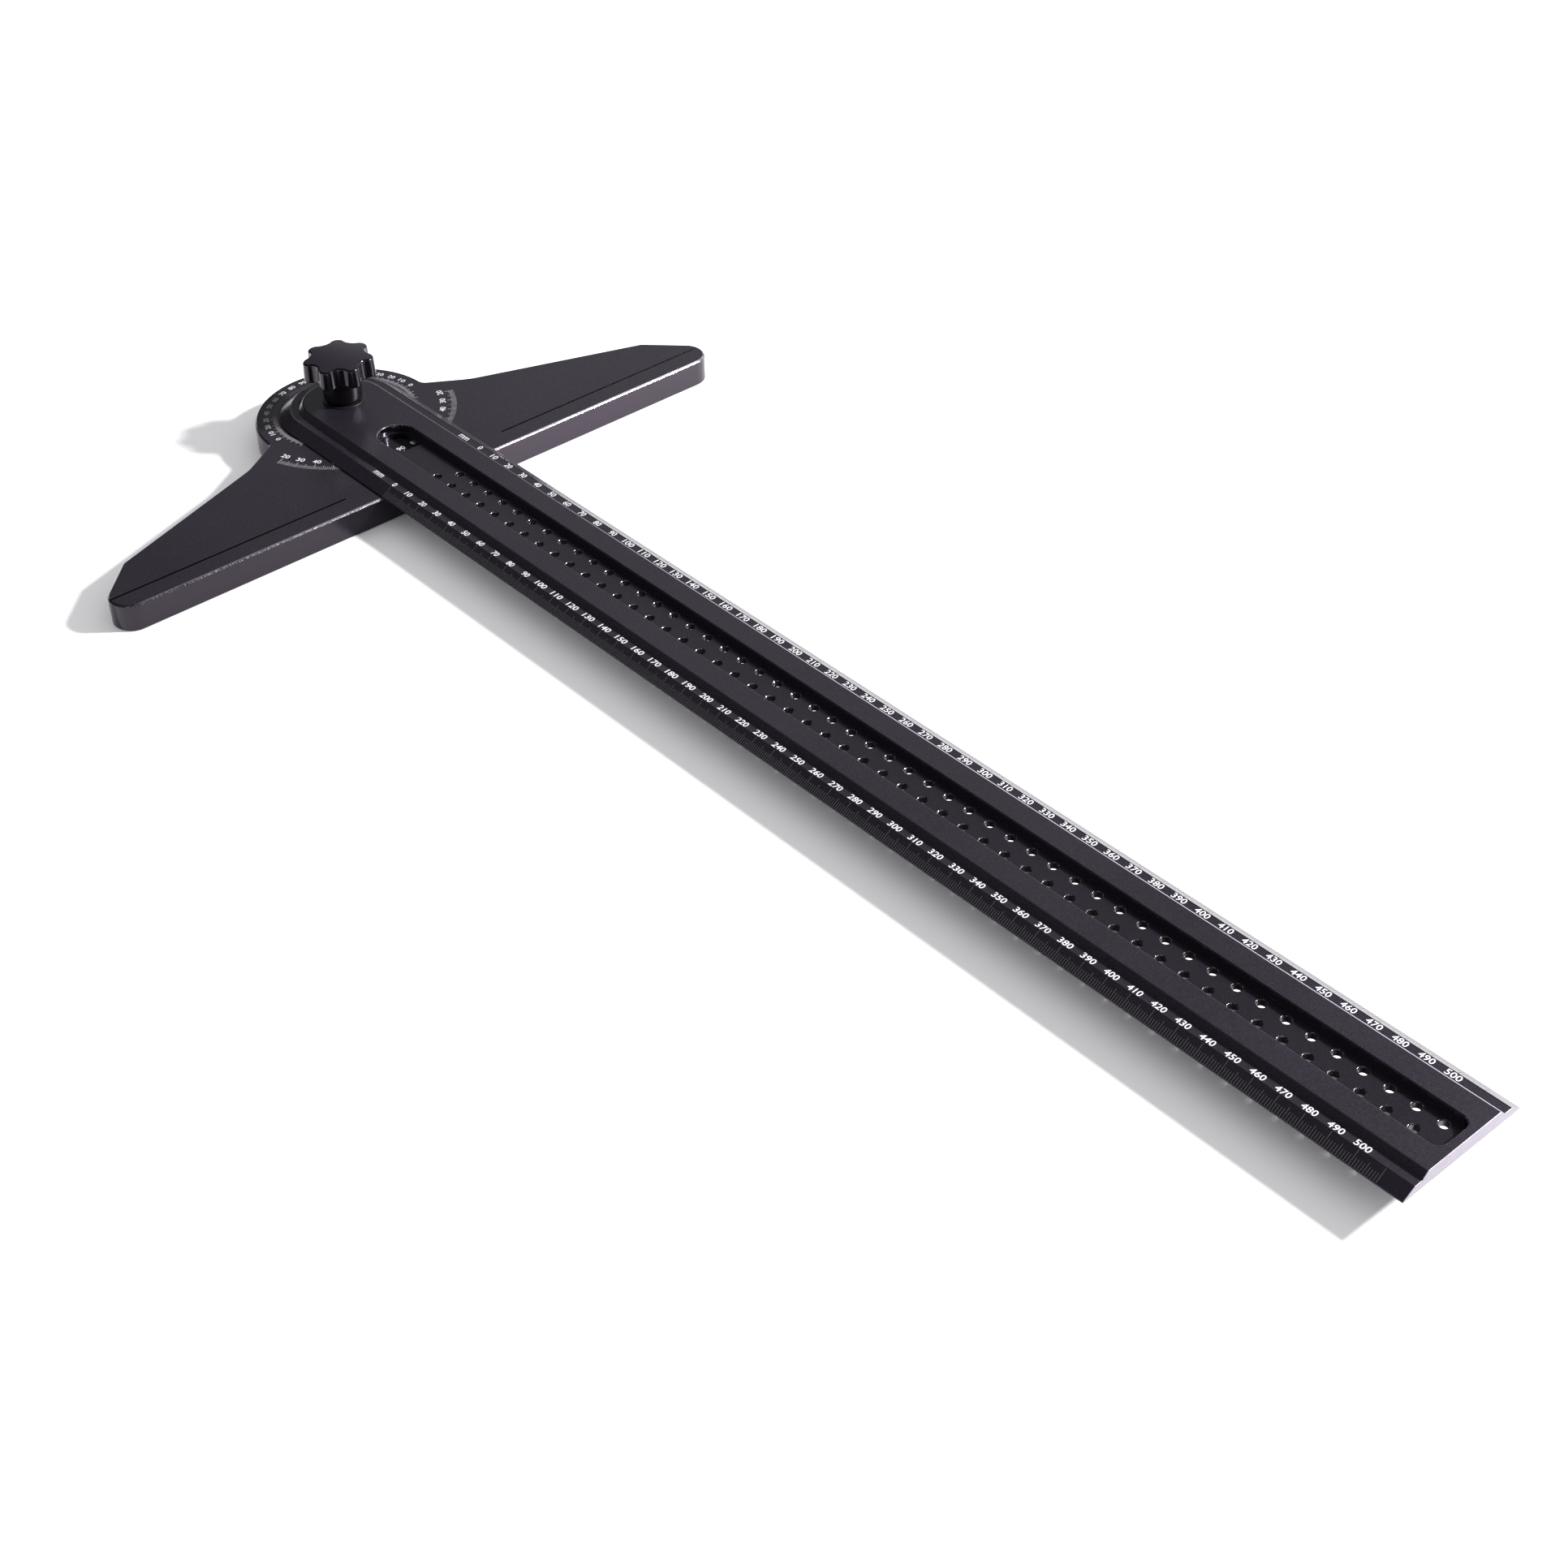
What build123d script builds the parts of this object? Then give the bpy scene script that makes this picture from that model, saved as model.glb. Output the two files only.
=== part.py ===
from build123d import *
import math
import os

# ---------------------------------------------------------------------------
# T square with a swinging blade: a flat stock ("head") with a straight fence
# face, a millimetre rule ("blade") with two bevelled edges and a row of
# marking holes, and a star knob that clamps the blade at any angle.
#
# Frame: millimetres, +Z up.  The origin is on the pivot axis at the underside
# of the head.  +X runs along the blade to its free end, +Y across it.
# ---------------------------------------------------------------------------

OVERCUT = 1.0            # how far cutters run past the faces they open

# --- pivot hardware ---------------------------------------------------------
BOLT_R = 3.0             # M6
BOLT_CLEAR_R = BOLT_R + 0.2
BOLT_TOP = 31.6
BOLT_TIP_H = 0.8         # cone at the bolt's upper end
BOLT_TIP_INSET = 0.7
THREAD_FIT_R = BOLT_R + 0.05        # bore of the bush and of the knob insert
HEX_AF = 10.0            # across flats of the bolt's head
HEX_H = 4.0
HEX_TRIM_INSET = 0.25    # cone trimming the lower corners: inside the flats by this,
HEX_TRIM_SLOPE = 1.73    # and widening by this much per millimetre of height
HEX_POCKET_AF = HEX_AF + 0.2
HEX_POCKET_D = 5.0
BUSH_R = 5.5
BUSH_INSET = 0.05        # below the blade's top and above its underside
FRICTION_R = 22.0
FRICTION_BORE_R = 6.5
FRICTION_T = 0.5
WASHER_R = 9.0
WASHER_T = 0.6
WASHER_ROUND = 0.2

# --- head (stock), given for the +Y wing; the other wing mirrors it ---------
HEAD_T = 12.0            # plate thickness
FENCE_X = 70.0           # fence face, ahead of the pivot axis
FENCE_APEX_Y = 162.4     # where the fence line and the 45 deg end bevel would meet
NOSE_R = 9.0             # rounding of that corner
SHOULDER_X = 40.0        # back corner of the wing, at the other end of the bevel
SHOULDER = (SHOULDER_X, FENCE_APEX_Y - (FENCE_X - SHOULDER_X))
SHOULDER_R = 1.2
BEND = (12.8, 57.2)      # soft bend in the wing's back edge
BEND_R = 25.0
ROOT = (1.45, 39.5)      # where the back edge runs into the round lobe
ROOT_R = 3.5
LOBE_X = 1.0             # centre of the round lobe behind the pivot
LOBE_R = 39.5
TOP_CHAMFER = 0.8
BOTTOM_CHAMFER = 0.5
GROOVE_X = 60.0          # scribe guide groove, parallel to the fence
GROOVE_W = 0.7
GROOVE_D = 0.5
GROOVE_START_Y = 40.0
GROOVE_END_Y = 155.0     # past the end bevel, so the groove is open there
RECESS_R = FRICTION_R + 0.25        # shallow round recess for the friction washer
RECESS_D = 0.4

# --- blade ------------------------------------------------------------------
FRICTION_Z = HEAD_T - RECESS_D
BLADE_Z = FRICTION_Z + FRICTION_T   # underside rides on the washer
BLADE_END_X = 590.0
BLADE_T = 6.0
# The 0.8 mm round between the slope and the flat top:
# on the slope, half way, and on the flat
ROUND_LOW = (17.938, 5.741)
ROUND_MID = (17.670, 5.932)
ROUND_TOP = (17.348, BLADE_T)
# Half section below that round: distance from the blade's middle, height above
# its underside
LOW_SIDE = [
    (28.2, 0.0), (28.2, 0.5),       # thin measuring edge
    (23.3, 3.72),                   # top of the measuring bevel
    (23.05, 3.6), (19.9, 3.6),      # number ledge
    ROUND_LOW,
]
POCKET_R = 8.0           # long pocket along the middle: half width and round end
POCKET_X0 = 32.1
POCKET_X1 = 586.7
POCKET_CENTRE_X = POCKET_X0 + POCKET_R
POCKET_FLOOR_Z = 2.6     # above the underside
POCKET_END_R = 3.6       # corners at the free end
POCKET_CHAMFER = 0.4
RIM_MARGIN_X = 0.5       # slack when picking the pocket's rim edges
RIM_MARGIN_Y = 0.2
WINDOW_R = 6.7           # sight window through the pocket's round end
WINDOW_X1 = 48.9
HOLE_R = 1.75            # marking holes, two staggered rows
HOLE_CSK = 0.3
HOLE_PITCH = 10.0
HOLE_COUNT = 51          # in each row
ROW_X0 = 75.0
ROW_Y = 4.0
HOLE_ROWS = ((ROW_X0, -ROW_Y), (ROW_X0 + HOLE_PITCH / 2, ROW_Y))   # first hole x, y

# --- knob -------------------------------------------------------------------
WASHER_Z = BLADE_Z + BLADE_T
KNOB_Z = WASHER_Z + WASHER_T
LOBES = 7
LOBE_PHASE = 96.6        # direction of the first lobe, degrees from +X
KNOB_TIP_R = 15.65       # at the lower rim of the lobes
KNOB_ROOT_R = 12.4
KNOB_TIP_ROUND = 3.6
KNOB_DRAFT = 2.5         # degrees
KNOB_BOSS_H = 11.9
KNOB_HEAD_H = 9.6
KNOB_TOP_ROUNDS = (0.9, 0.6, 0.4)   # edge radii in order of preference
KNOB_LOWER_ROUNDS = (0.6, 0.4)
BOSS_TOP_R = 8.9
BOSS_BOTTOM_R = 8.3
BOSS_ROUND = 2.4         # large radius at the foot of the boss
DOME_R = 95.0            # crown of the knob's top face
INSERT_R = 5.0
INSERT_H = 14.5
INSERT_BORE_H = 13.5
INSERT_LEAD_IN = 0.6     # chamfer at the mouth of the bore


# --- helpers ----------------------------------------------------------------
def cone(bottom_r, top_r, height, z=0.0, x=0.0, y=0.0):
    """Upright cone standing on z."""
    align = (Align.CENTER, Align.CENTER, Align.MIN)
    return Pos(x, y, z) * Cone(bottom_r, top_r, height, align=align)


def disc(radius, height, z=0.0, x=0.0, y=0.0):
    """Upright cylinder standing on z."""
    align = (Align.CENTER, Align.CENTER, Align.MIN)
    return Pos(x, y, z) * Cylinder(radius, height, align=align)


def through_hole(radius, thickness, z=0.0, x=0.0, y=0.0):
    """Round cutter through a layer that stands on z."""
    return disc(radius, thickness + 2 * OVERCUT, z - OVERCUT, x, y)


def hex_prism(across_flats, height, z):
    hexagon = RegularPolygon(across_flats / math.sqrt(3.0), 6)
    return Pos(0, 0, z) * extrude(hexagon, amount=height)


def largest_solid(shape):
    return max(shape.solids(), key=lambda solid: solid.volume)


def unit(start, end):
    """Unit vector from start towards end."""
    length = math.hypot(end[0] - start[0], end[1] - start[1])
    return ((end[0] - start[0]) / length, (end[1] - start[1]) / length)


def offset(point, direction, distance):
    return (point[0] + direction[0] * distance, point[1] + direction[1] * distance)


def polar(radius, angle):
    return (radius * math.cos(angle), radius * math.sin(angle))


# --- head_plate: two swept wings and a round lobe, one flat plate ------------
def corner_arc(before, corner, after, radius):
    """Start, middle and end of the arc that rounds a corner of a path."""
    back, ahead = unit(corner, before), unit(corner, after)
    half_angle = math.acos(back[0] * ahead[0] + back[1] * ahead[1]) / 2
    setback = radius / math.tan(half_angle)
    bisector = unit((0, 0), (back[0] + ahead[0], back[1] + ahead[1]))
    return (
        offset(corner, back, setback),
        offset(corner, bisector, radius / math.sin(half_angle) - radius),
        offset(corner, ahead, setback),
    )


def lobe_blend():
    """Small arc that joins the wing's back edge to the round lobe."""
    along = unit(BEND, ROOT)
    outward = (along[1], -along[0])
    # The centre lies on the back edge moved outward by ROOT_R, at
    # LOBE_R + ROOT_R from the lobe's centre: a quadratic in the distance along.
    line_start = offset(BEND, outward, ROOT_R)
    from_lobe = (line_start[0] - LOBE_X, line_start[1])
    half_b = from_lobe[0] * along[0] + from_lobe[1] * along[1]
    const = from_lobe[0] ** 2 + from_lobe[1] ** 2 - (LOBE_R + ROOT_R) ** 2
    centre = offset(line_start, along, -half_b - math.sqrt(half_b * half_b - const))
    to_lobe = unit(centre, (LOBE_X, 0.0))
    middle = unit((0, 0), (to_lobe[0] - outward[0], to_lobe[1] - outward[1]))
    return (
        offset(centre, outward, -ROOT_R),
        offset(centre, middle, ROOT_R),
        offset(centre, to_lobe, ROOT_R),
    )


def flip(points):
    """Mirror an arc's points to the other wing, keeping the path's direction."""
    return tuple((x, -y) for x, y in reversed(points))


def linked_arcs(arcs):
    """Arcs in turn, joined by straight lines."""
    edges = [ThreePointArc(*arcs[0])]
    for arc, following in zip(arcs, arcs[1:]):
        edges += [Line(arc[-1], following[0]), ThreePointArc(*following)]
    return edges


def head_profile():
    apex = (FENCE_X, FENCE_APEX_Y)
    arcs = [
        corner_arc((FENCE_X, 0.0), apex, SHOULDER, NOSE_R),
        corner_arc(apex, SHOULDER, BEND, SHOULDER_R),
        corner_arc(SHOULDER, BEND, ROOT, BEND_R),
        lobe_blend(),
    ]
    mirrored = [flip(arc) for arc in reversed(arcs)]
    lobe = ThreePointArc(arcs[-1][-1], (LOBE_X - LOBE_R, 0.0), mirrored[0][0])
    fence = Line(mirrored[-1][-1], arcs[0][0])
    return make_face(Wire(linked_arcs(arcs) + [lobe] + linked_arcs(mirrored) + [fence]))


def head_plate():
    head = extrude(head_profile(), amount=HEAD_T)
    for end, size in ((-1, TOP_CHAMFER), (0, BOTTOM_CHAMFER)):
        head = chamfer(head.faces().sort_by(Axis.Z)[end].outer_wire().edges(), size)

    groove = Box(GROOVE_W, GROOVE_END_Y - GROOVE_START_Y, GROOVE_D + OVERCUT)
    groove_y = (GROOVE_START_Y + GROOVE_END_Y) / 2
    groove_z = HEAD_T + (OVERCUT - GROOVE_D) / 2
    for side in (1, -1):
        head = head - Pos(GROOVE_X, side * groove_y, groove_z) * groove

    head = head - through_hole(BOLT_CLEAR_R, HEAD_T)
    head = head - hex_prism(HEX_POCKET_AF, HEX_POCKET_D + OVERCUT, -OVERCUT)
    head = head - disc(RECESS_R, RECESS_D + OVERCUT, FRICTION_Z)
    return largest_solid(head)


# --- pivot_bolt: M6 hexagon bolt, held in the pocket under the head ----------
def pivot_bolt():
    head_z = HEX_POCKET_D - HEX_H
    trim_r = HEX_AF / 2 - HEX_TRIM_INSET
    trim = cone(trim_r, trim_r + HEX_H * HEX_TRIM_SLOPE, HEX_H, head_z)
    head = hex_prism(HEX_AF, HEX_H, head_z) & trim
    tip_z = BOLT_TOP - BOLT_TIP_H
    shank = disc(BOLT_R, tip_z - HEX_POCKET_D, HEX_POCKET_D)
    tip = cone(BOLT_R, BOLT_R - BOLT_TIP_INSET, BOLT_TIP_H, tip_z)
    return largest_solid(head + shank + tip)


# --- friction_washer: thin disc in the head's recess, under the blade --------
def friction_washer():
    washer = disc(FRICTION_R, FRICTION_T, FRICTION_Z)
    return largest_solid(washer - through_hole(FRICTION_BORE_R, FRICTION_T, FRICTION_Z))


# --- ruler_blade: stepped, double-bevelled section that also wraps round the
# back end, concentric with the pivot; built with its underside at z = 0 ------
def section_point(side, point):
    return (0, side * point[0], point[1])


def section_side(side):
    """Stepped outline of one side of the blade, +1 for +Y and -1 for -Y."""
    arc = [section_point(side, point) for point in (ROUND_LOW, ROUND_MID, ROUND_TOP)]
    return [
        Polyline(*[section_point(side, point) for point in LOW_SIDE]),
        ThreePointArc(*arc),
    ]


def blade_blank():
    right_top, right_foot = section_point(1, ROUND_TOP), section_point(1, LOW_SIDE[0])
    left_top, left_foot = section_point(-1, ROUND_TOP), section_point(-1, LOW_SIDE[0])
    middle_top, middle_foot = (0, 0, BLADE_T), (0, 0, 0)
    half_closing = [
        Line(right_top, middle_top),
        Line(middle_top, middle_foot),
        Line(middle_foot, right_foot),
    ]
    half_face = make_face(section_side(1) + half_closing)
    round_end = revolve(half_face, axis=Axis.Z, revolution_arc=180)
    full_closing = [Line(right_top, left_top), Line(right_foot, left_foot)]
    full_face = make_face(section_side(1) + section_side(-1) + full_closing)
    return extrude(full_face, amount=BLADE_END_X, dir=(1, 0, 0)) + round_end


def pocket_cutter():
    """Full round at the window end, small corner radii at the free end."""
    plan = Pos((POCKET_CENTRE_X + POCKET_X1) / 2, 0) * Rectangle(
        POCKET_X1 - POCKET_CENTRE_X, 2 * POCKET_R
    )
    plan = fillet(plan.vertices().sort_by(Axis.X)[-2:], POCKET_END_R)
    plan = plan + Pos(POCKET_CENTRE_X, 0) * Circle(POCKET_R)
    return Pos(0, 0, POCKET_FLOOR_Z) * extrude(plan, amount=BLADE_T)


def is_pocket_rim(edge):
    box = edge.bounding_box()
    return (
        abs(edge.center().Z - BLADE_T) < 1e-6
        and box.min.X > POCKET_X0 - RIM_MARGIN_X
        and box.max.X < POCKET_X1 + RIM_MARGIN_X
        and abs(edge.center().Y) < POCKET_R + RIM_MARGIN_Y
    )


def window_cutter():
    plan = Pos(POCKET_CENTRE_X, 0) * Circle(WINDOW_R) + Pos(
        (POCKET_CENTRE_X + WINDOW_X1) / 2, 0
    ) * Rectangle(WINDOW_X1 - POCKET_CENTRE_X, 2 * WINDOW_R)
    return Pos(0, 0, -OVERCUT) * extrude(plan, amount=POCKET_FLOOR_Z + 2 * OVERCUT)


def ruler_blade():
    blade = blade_blank() - pocket_cutter()
    blade = chamfer([edge for edge in blade.edges() if is_pocket_rim(edge)], POCKET_CHAMFER)
    blade = blade - window_cutter()

    # marking holes, countersunk from above
    places = [(x0 + i * HOLE_PITCH, y) for x0, y in HOLE_ROWS for i in range(HOLE_COUNT)]
    blade = blade - [through_hole(HOLE_R, POCKET_FLOOR_Z, x=x, y=y) for x, y in places]
    sink_h = 2 * HOLE_CSK       # half of it stands above the pocket floor
    sink_z = POCKET_FLOOR_Z - HOLE_CSK
    blade = blade - [cone(HOLE_R, HOLE_R + sink_h, sink_h, sink_z, x, y) for x, y in places]

    blade = blade - through_hole(BUSH_R, BLADE_T)
    return Pos(0, 0, BLADE_Z) * largest_solid(blade)


# --- pivot_bush: pressed in the blade, turns on the bolt ---------------------
def pivot_bush():
    bush = disc(BUSH_R, BLADE_T - 2 * BUSH_INSET, BLADE_Z + BUSH_INSET)
    return largest_solid(bush - through_hole(THREAD_FIT_R, BLADE_T, BLADE_Z))


# --- flat_washer: under the knob's boss --------------------------------------
def flat_washer():
    washer = disc(WASHER_R, WASHER_T, WASHER_Z)
    washer = fillet(washer.edges().filter_by(GeomType.CIRCLE), WASHER_ROUND)
    return largest_solid(washer - through_hole(BOLT_CLEAR_R, WASHER_T, WASHER_Z))


# --- knob_body: seven rounded lobes joined by concave flutes, crowned top,
# tapered boss below; built with its foot at z = 0 ----------------------------
def star_face():
    """Lobe tip arcs tangent to the concave flute arcs between them."""
    tip_d = KNOB_TIP_R - KNOB_TIP_ROUND          # axis to a tip arc's centre
    half_step = math.pi / LOBES
    cosine = math.cos(half_step)
    flute_r = (
        tip_d**2 + KNOB_ROOT_R**2 - 2 * tip_d * cosine * KNOB_ROOT_R - KNOB_TIP_ROUND**2
    ) / (2 * (KNOB_TIP_ROUND - KNOB_ROOT_R + tip_d * cosine))
    flute_d = KNOB_ROOT_R + flute_r

    def tangent_point(tip_angle, flute_angle):
        tip_centre = polar(tip_d, tip_angle)
        flute_centre = polar(flute_d, flute_angle)
        return offset(tip_centre, unit(tip_centre, flute_centre), KNOB_TIP_ROUND)

    edges = []
    for k in range(LOBES):
        angle = math.radians(LOBE_PHASE + k * 360.0 / LOBES)
        flute = angle + half_step
        start = tangent_point(angle, angle - half_step)
        end = tangent_point(angle, flute)
        next_start = tangent_point(angle + 2 * half_step, flute)
        edges.append(ThreePointArc(start, polar(KNOB_TIP_R, angle), end))
        edges.append(ThreePointArc(end, polar(KNOB_ROOT_R, flute), next_start))
    return make_face(Wire(edges))


def round_rim(body, end, radii):
    """Round the lowest (end 0) or highest (end -1) face's rim."""
    rim = body.faces().sort_by(Axis.Z)[end].outer_wire().edges()
    for radius in radii:
        # The fillet can fail on the tight flute corners: then try the next
        # radius, and leave the rim sharp if none works.
        try:
            rounded = fillet(rim, radius)
            if rounded.is_valid:
                return rounded
        except Exception:
            continue
    return body


def knob_body():
    lobed = extrude(star_face(), amount=KNOB_HEAD_H, taper=KNOB_DRAFT)
    dome = Pos(0, 0, KNOB_HEAD_H - DOME_R) * Sphere(DOME_R)
    lobed = largest_solid(lobed & dome)
    lobed = round_rim(lobed, -1, KNOB_TOP_ROUNDS)
    lobed = round_rim(lobed, 0, KNOB_LOWER_ROUNDS)
    boss = cone(BOSS_BOTTOM_R, BOSS_TOP_R, KNOB_BOSS_H)
    boss = fillet(boss.edges().filter_by(GeomType.CIRCLE).sort_by(Axis.Z)[0], BOSS_ROUND)
    knob = Pos(0, 0, KNOB_BOSS_H) * largest_solid(lobed) + boss
    knob = knob - disc(INSERT_R, INSERT_H + OVERCUT, -OVERCUT)
    return Pos(0, 0, KNOB_Z) * largest_solid(knob)


# --- knob_insert: threaded bush moulded into the knob ------------------------
def knob_insert():
    bore = disc(THREAD_FIT_R, INSERT_BORE_H + OVERCUT, -OVERCUT)
    insert = disc(INSERT_R, INSERT_H) - bore
    insert = insert - cone(THREAD_FIT_R + INSERT_LEAD_IN, THREAD_FIT_R, INSERT_LEAD_IN)
    return Pos(0, 0, KNOB_Z) * largest_solid(insert)


PIECES = {
    "head_plate": head_plate,
    "pivot_bolt": pivot_bolt,
    "friction_washer": friction_washer,
    "ruler_blade": ruler_blade,
    "pivot_bush": pivot_bush,
    "flat_washer": flat_washer,
    "knob_body": knob_body,
    "knob_insert": knob_insert,
}

os.makedirs("parts", exist_ok=True)
for name, build in PIECES.items():
    piece = build()
    piece.label = name
    export_step(piece, f"parts/{name}.step")
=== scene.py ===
"""An angle ruler: a flat head plate, a long blade lying on it, and a seven-lobed clamping knob.

Z is up. The blade runs along +X and the head's straight fence edge is its +X side. The head's
round lobe is at -X and its wings reach out to +Y and -Y. The knob turns about the Z axis.
Sizes are in millimetres unless a comment says otherwise; shaders, lights and camera use metres.
"""
import math
import bpy
import bmesh
from mathutils import Matrix, Vector


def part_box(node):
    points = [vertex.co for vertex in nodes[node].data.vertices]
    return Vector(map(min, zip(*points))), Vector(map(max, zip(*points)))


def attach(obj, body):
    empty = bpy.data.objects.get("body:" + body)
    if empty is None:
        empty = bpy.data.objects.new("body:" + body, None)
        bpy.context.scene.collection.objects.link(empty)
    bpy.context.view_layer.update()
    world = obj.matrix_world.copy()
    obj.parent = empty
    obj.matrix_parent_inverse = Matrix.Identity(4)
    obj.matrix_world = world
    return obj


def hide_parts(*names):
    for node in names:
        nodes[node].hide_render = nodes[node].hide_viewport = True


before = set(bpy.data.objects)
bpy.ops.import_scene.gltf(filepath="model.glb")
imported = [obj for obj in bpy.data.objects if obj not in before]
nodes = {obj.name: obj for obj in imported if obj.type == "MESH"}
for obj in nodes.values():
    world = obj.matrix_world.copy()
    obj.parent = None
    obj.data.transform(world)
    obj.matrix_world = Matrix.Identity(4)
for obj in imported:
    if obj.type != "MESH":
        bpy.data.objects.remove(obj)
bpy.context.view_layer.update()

MM = 0.001

# ---------------------------------------------------------------------------
# sizes
# ---------------------------------------------------------------------------
_, head_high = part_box("head_plate")
blade_low, blade_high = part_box("ruler_blade")
knob_low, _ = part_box("knob_body")
HEAD_TOP = head_high.z / MM
FENCE_X = head_high.x / MM
BLADE_Z = blade_low.z / MM          # underside of the blade
BLADE_HALF_WIDTH = blade_high.y / MM
BLADE_END = blade_high.x / MM
LEDGE_Z = BLADE_Z + 3.6             # the face that carries the blade's numbers
KNOB_Z = knob_low.z / MM
BOSS_HEIGHT = 11.9                  # from the knob's foot to the underside of its lobes
MARK_THICKNESS = 0.05


# ---------------------------------------------------------------------------
# mesh helpers
# ---------------------------------------------------------------------------
def mesh_object(name, verts, faces, smooth=False):
    """Makes an object from millimetre coordinates."""
    mesh = bpy.data.meshes.new(name)
    mesh.from_pydata([(x * MM, y * MM, z * MM) for x, y, z in verts], [], faces)
    mesh.update()
    made = bpy.data.objects.new(name, mesh)
    bpy.context.scene.collection.objects.link(made)
    work = bmesh.new()
    work.from_mesh(mesh)
    bmesh.ops.recalc_face_normals(work, faces=work.faces)
    work.to_mesh(mesh)
    work.free()
    for poly in mesh.polygons:
        poly.use_smooth = smooth
    return made


class Batch:
    """Collects many small closed solids in one mesh."""

    def __init__(self):
        self.verts = []
        self.faces = []

    def prism(self, base, up):
        """Adds a closed prism: base is a list of points, up the vector to the other face."""
        count = len(base)
        first = len(self.verts)
        self.verts += base
        self.verts += [(x + up[0], y + up[1], z + up[2]) for x, y, z in base]
        self.faces.append(tuple(range(first + count - 1, first - 1, -1)))
        self.faces.append(tuple(range(first + count, first + 2 * count)))
        for i in range(count):
            a = first + i
            b = first + (i + 1) % count
            self.faces.append((a, b, count + b, count + a))

    def text(self, label, place, angle):
        """Adds a label from text_mesh at place, turned by angle (radians about Z)."""
        verts, faces = label
        cos, sin = math.cos(angle), math.sin(angle)
        first = len(self.verts)
        self.verts += [
            (place[0] + x * cos - y * sin, place[1] + x * sin + y * cos, place[2] + z)
            for x, y, z in verts
        ]
        self.faces += [tuple(first + i for i in face) for face in faces]

    def make(self, name):
        return mesh_object(name, self.verts, self.faces)


def text_mesh(body, height, width, weight):
    """Text as closed verts and faces, centred on the origin and fitted to height and width."""
    curve = bpy.data.curves.new("text", "FONT")
    curve.body = body
    curve.align_x = "CENTER"
    curve.size = 1.0
    curve.resolution_u = 3
    curve.offset = weight
    curve.extrude = 0.5
    holder = bpy.data.objects.new("text", curve)
    bpy.context.scene.collection.objects.link(holder)
    bpy.context.view_layer.update()
    depsgraph = bpy.context.evaluated_depsgraph_get()
    mesh = bpy.data.meshes.new_from_object(holder.evaluated_get(depsgraph))
    work = bmesh.new()
    work.from_mesh(mesh)
    bmesh.ops.remove_doubles(work, verts=work.verts, dist=1e-5)
    verts = [tuple(v.co) for v in work.verts]
    faces = [tuple(v.index for v in f.verts) for f in work.faces]
    work.free()
    bpy.data.objects.remove(holder)
    bpy.data.curves.remove(curve)
    bpy.data.meshes.remove(mesh)
    left, right = min(v[0] for v in verts), max(v[0] for v in verts)
    bottom, top = min(v[1] for v in verts), max(v[1] for v in verts)
    mid_x, mid_y = (left + right) / 2, (bottom + top) / 2
    scale_x, scale_y = width / (right - left), height / (top - bottom)
    fitted = [
        ((x - mid_x) * scale_x, (y - mid_y) * scale_y, z * MARK_THICKNESS) for x, y, z in verts
    ]
    return fitted, faces


# ---------------------------------------------------------------------------
# shader helpers
# ---------------------------------------------------------------------------
class Graph:
    """Short ways to add nodes. An input takes a number, a colour, a vector or a socket."""

    def __init__(self, tree):
        self.tree = tree
        tree.nodes.clear()

    def feed(self, socket, value):
        if isinstance(value, bpy.types.NodeSocket):
            self.tree.links.new(value, socket)
        elif socket.type == "RGBA":
            socket.default_value = (*value, 1.0)
        else:
            socket.default_value = value

    def node(self, kind, inputs=None, **settings):
        made = self.tree.nodes.new(kind)
        for name, value in settings.items():
            setattr(made, name, value)
        for key, value in (inputs or {}).items():
            self.feed(made.inputs[key], value)
        return made

    def axes(self, vector):
        """The outputs X, Y and Z of a vector."""
        return self.node("ShaderNodeSeparateXYZ", {0: vector}).outputs

    def dot(self, a, b):
        made = self.node("ShaderNodeVectorMath", {0: a, 1: b}, operation="DOT_PRODUCT")
        return made.outputs["Value"]

    def math(self, operation, *values):
        inputs = dict(enumerate(values))
        return self.node("ShaderNodeMath", inputs, operation=operation).outputs[0]

    def times(self, first, *others):
        for other in others:
            first = self.math("MULTIPLY", first, other)
        return first

    def invert(self, value):
        return self.math("SUBTRACT", 1.0, value)

    def above(self, value, limit):
        return self.math("GREATER_THAN", value, limit)

    def ramp(self, value, over=(0.3, 0.7), to=(0.0, 1.0), shape="LINEAR"):
        """Maps value from one range to another, clamped."""
        inputs = {
            "Value": value,
            "From Min": over[0],
            "From Max": over[1],
            "To Min": to[0],
            "To Max": to[1],
        }
        return self.node("ShaderNodeMapRange", inputs, interpolation_type=shape).outputs[0]

    def mix_colour(self, start, by, to):
        return self.node("ShaderNodeMix", {0: by, 6: start, 7: to}, data_type="RGBA").outputs[2]

    def mix_value(self, start, by, to):
        return self.node("ShaderNodeMix", {0: by, 2: start, 3: to}, data_type="FLOAT").outputs[0]


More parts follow.
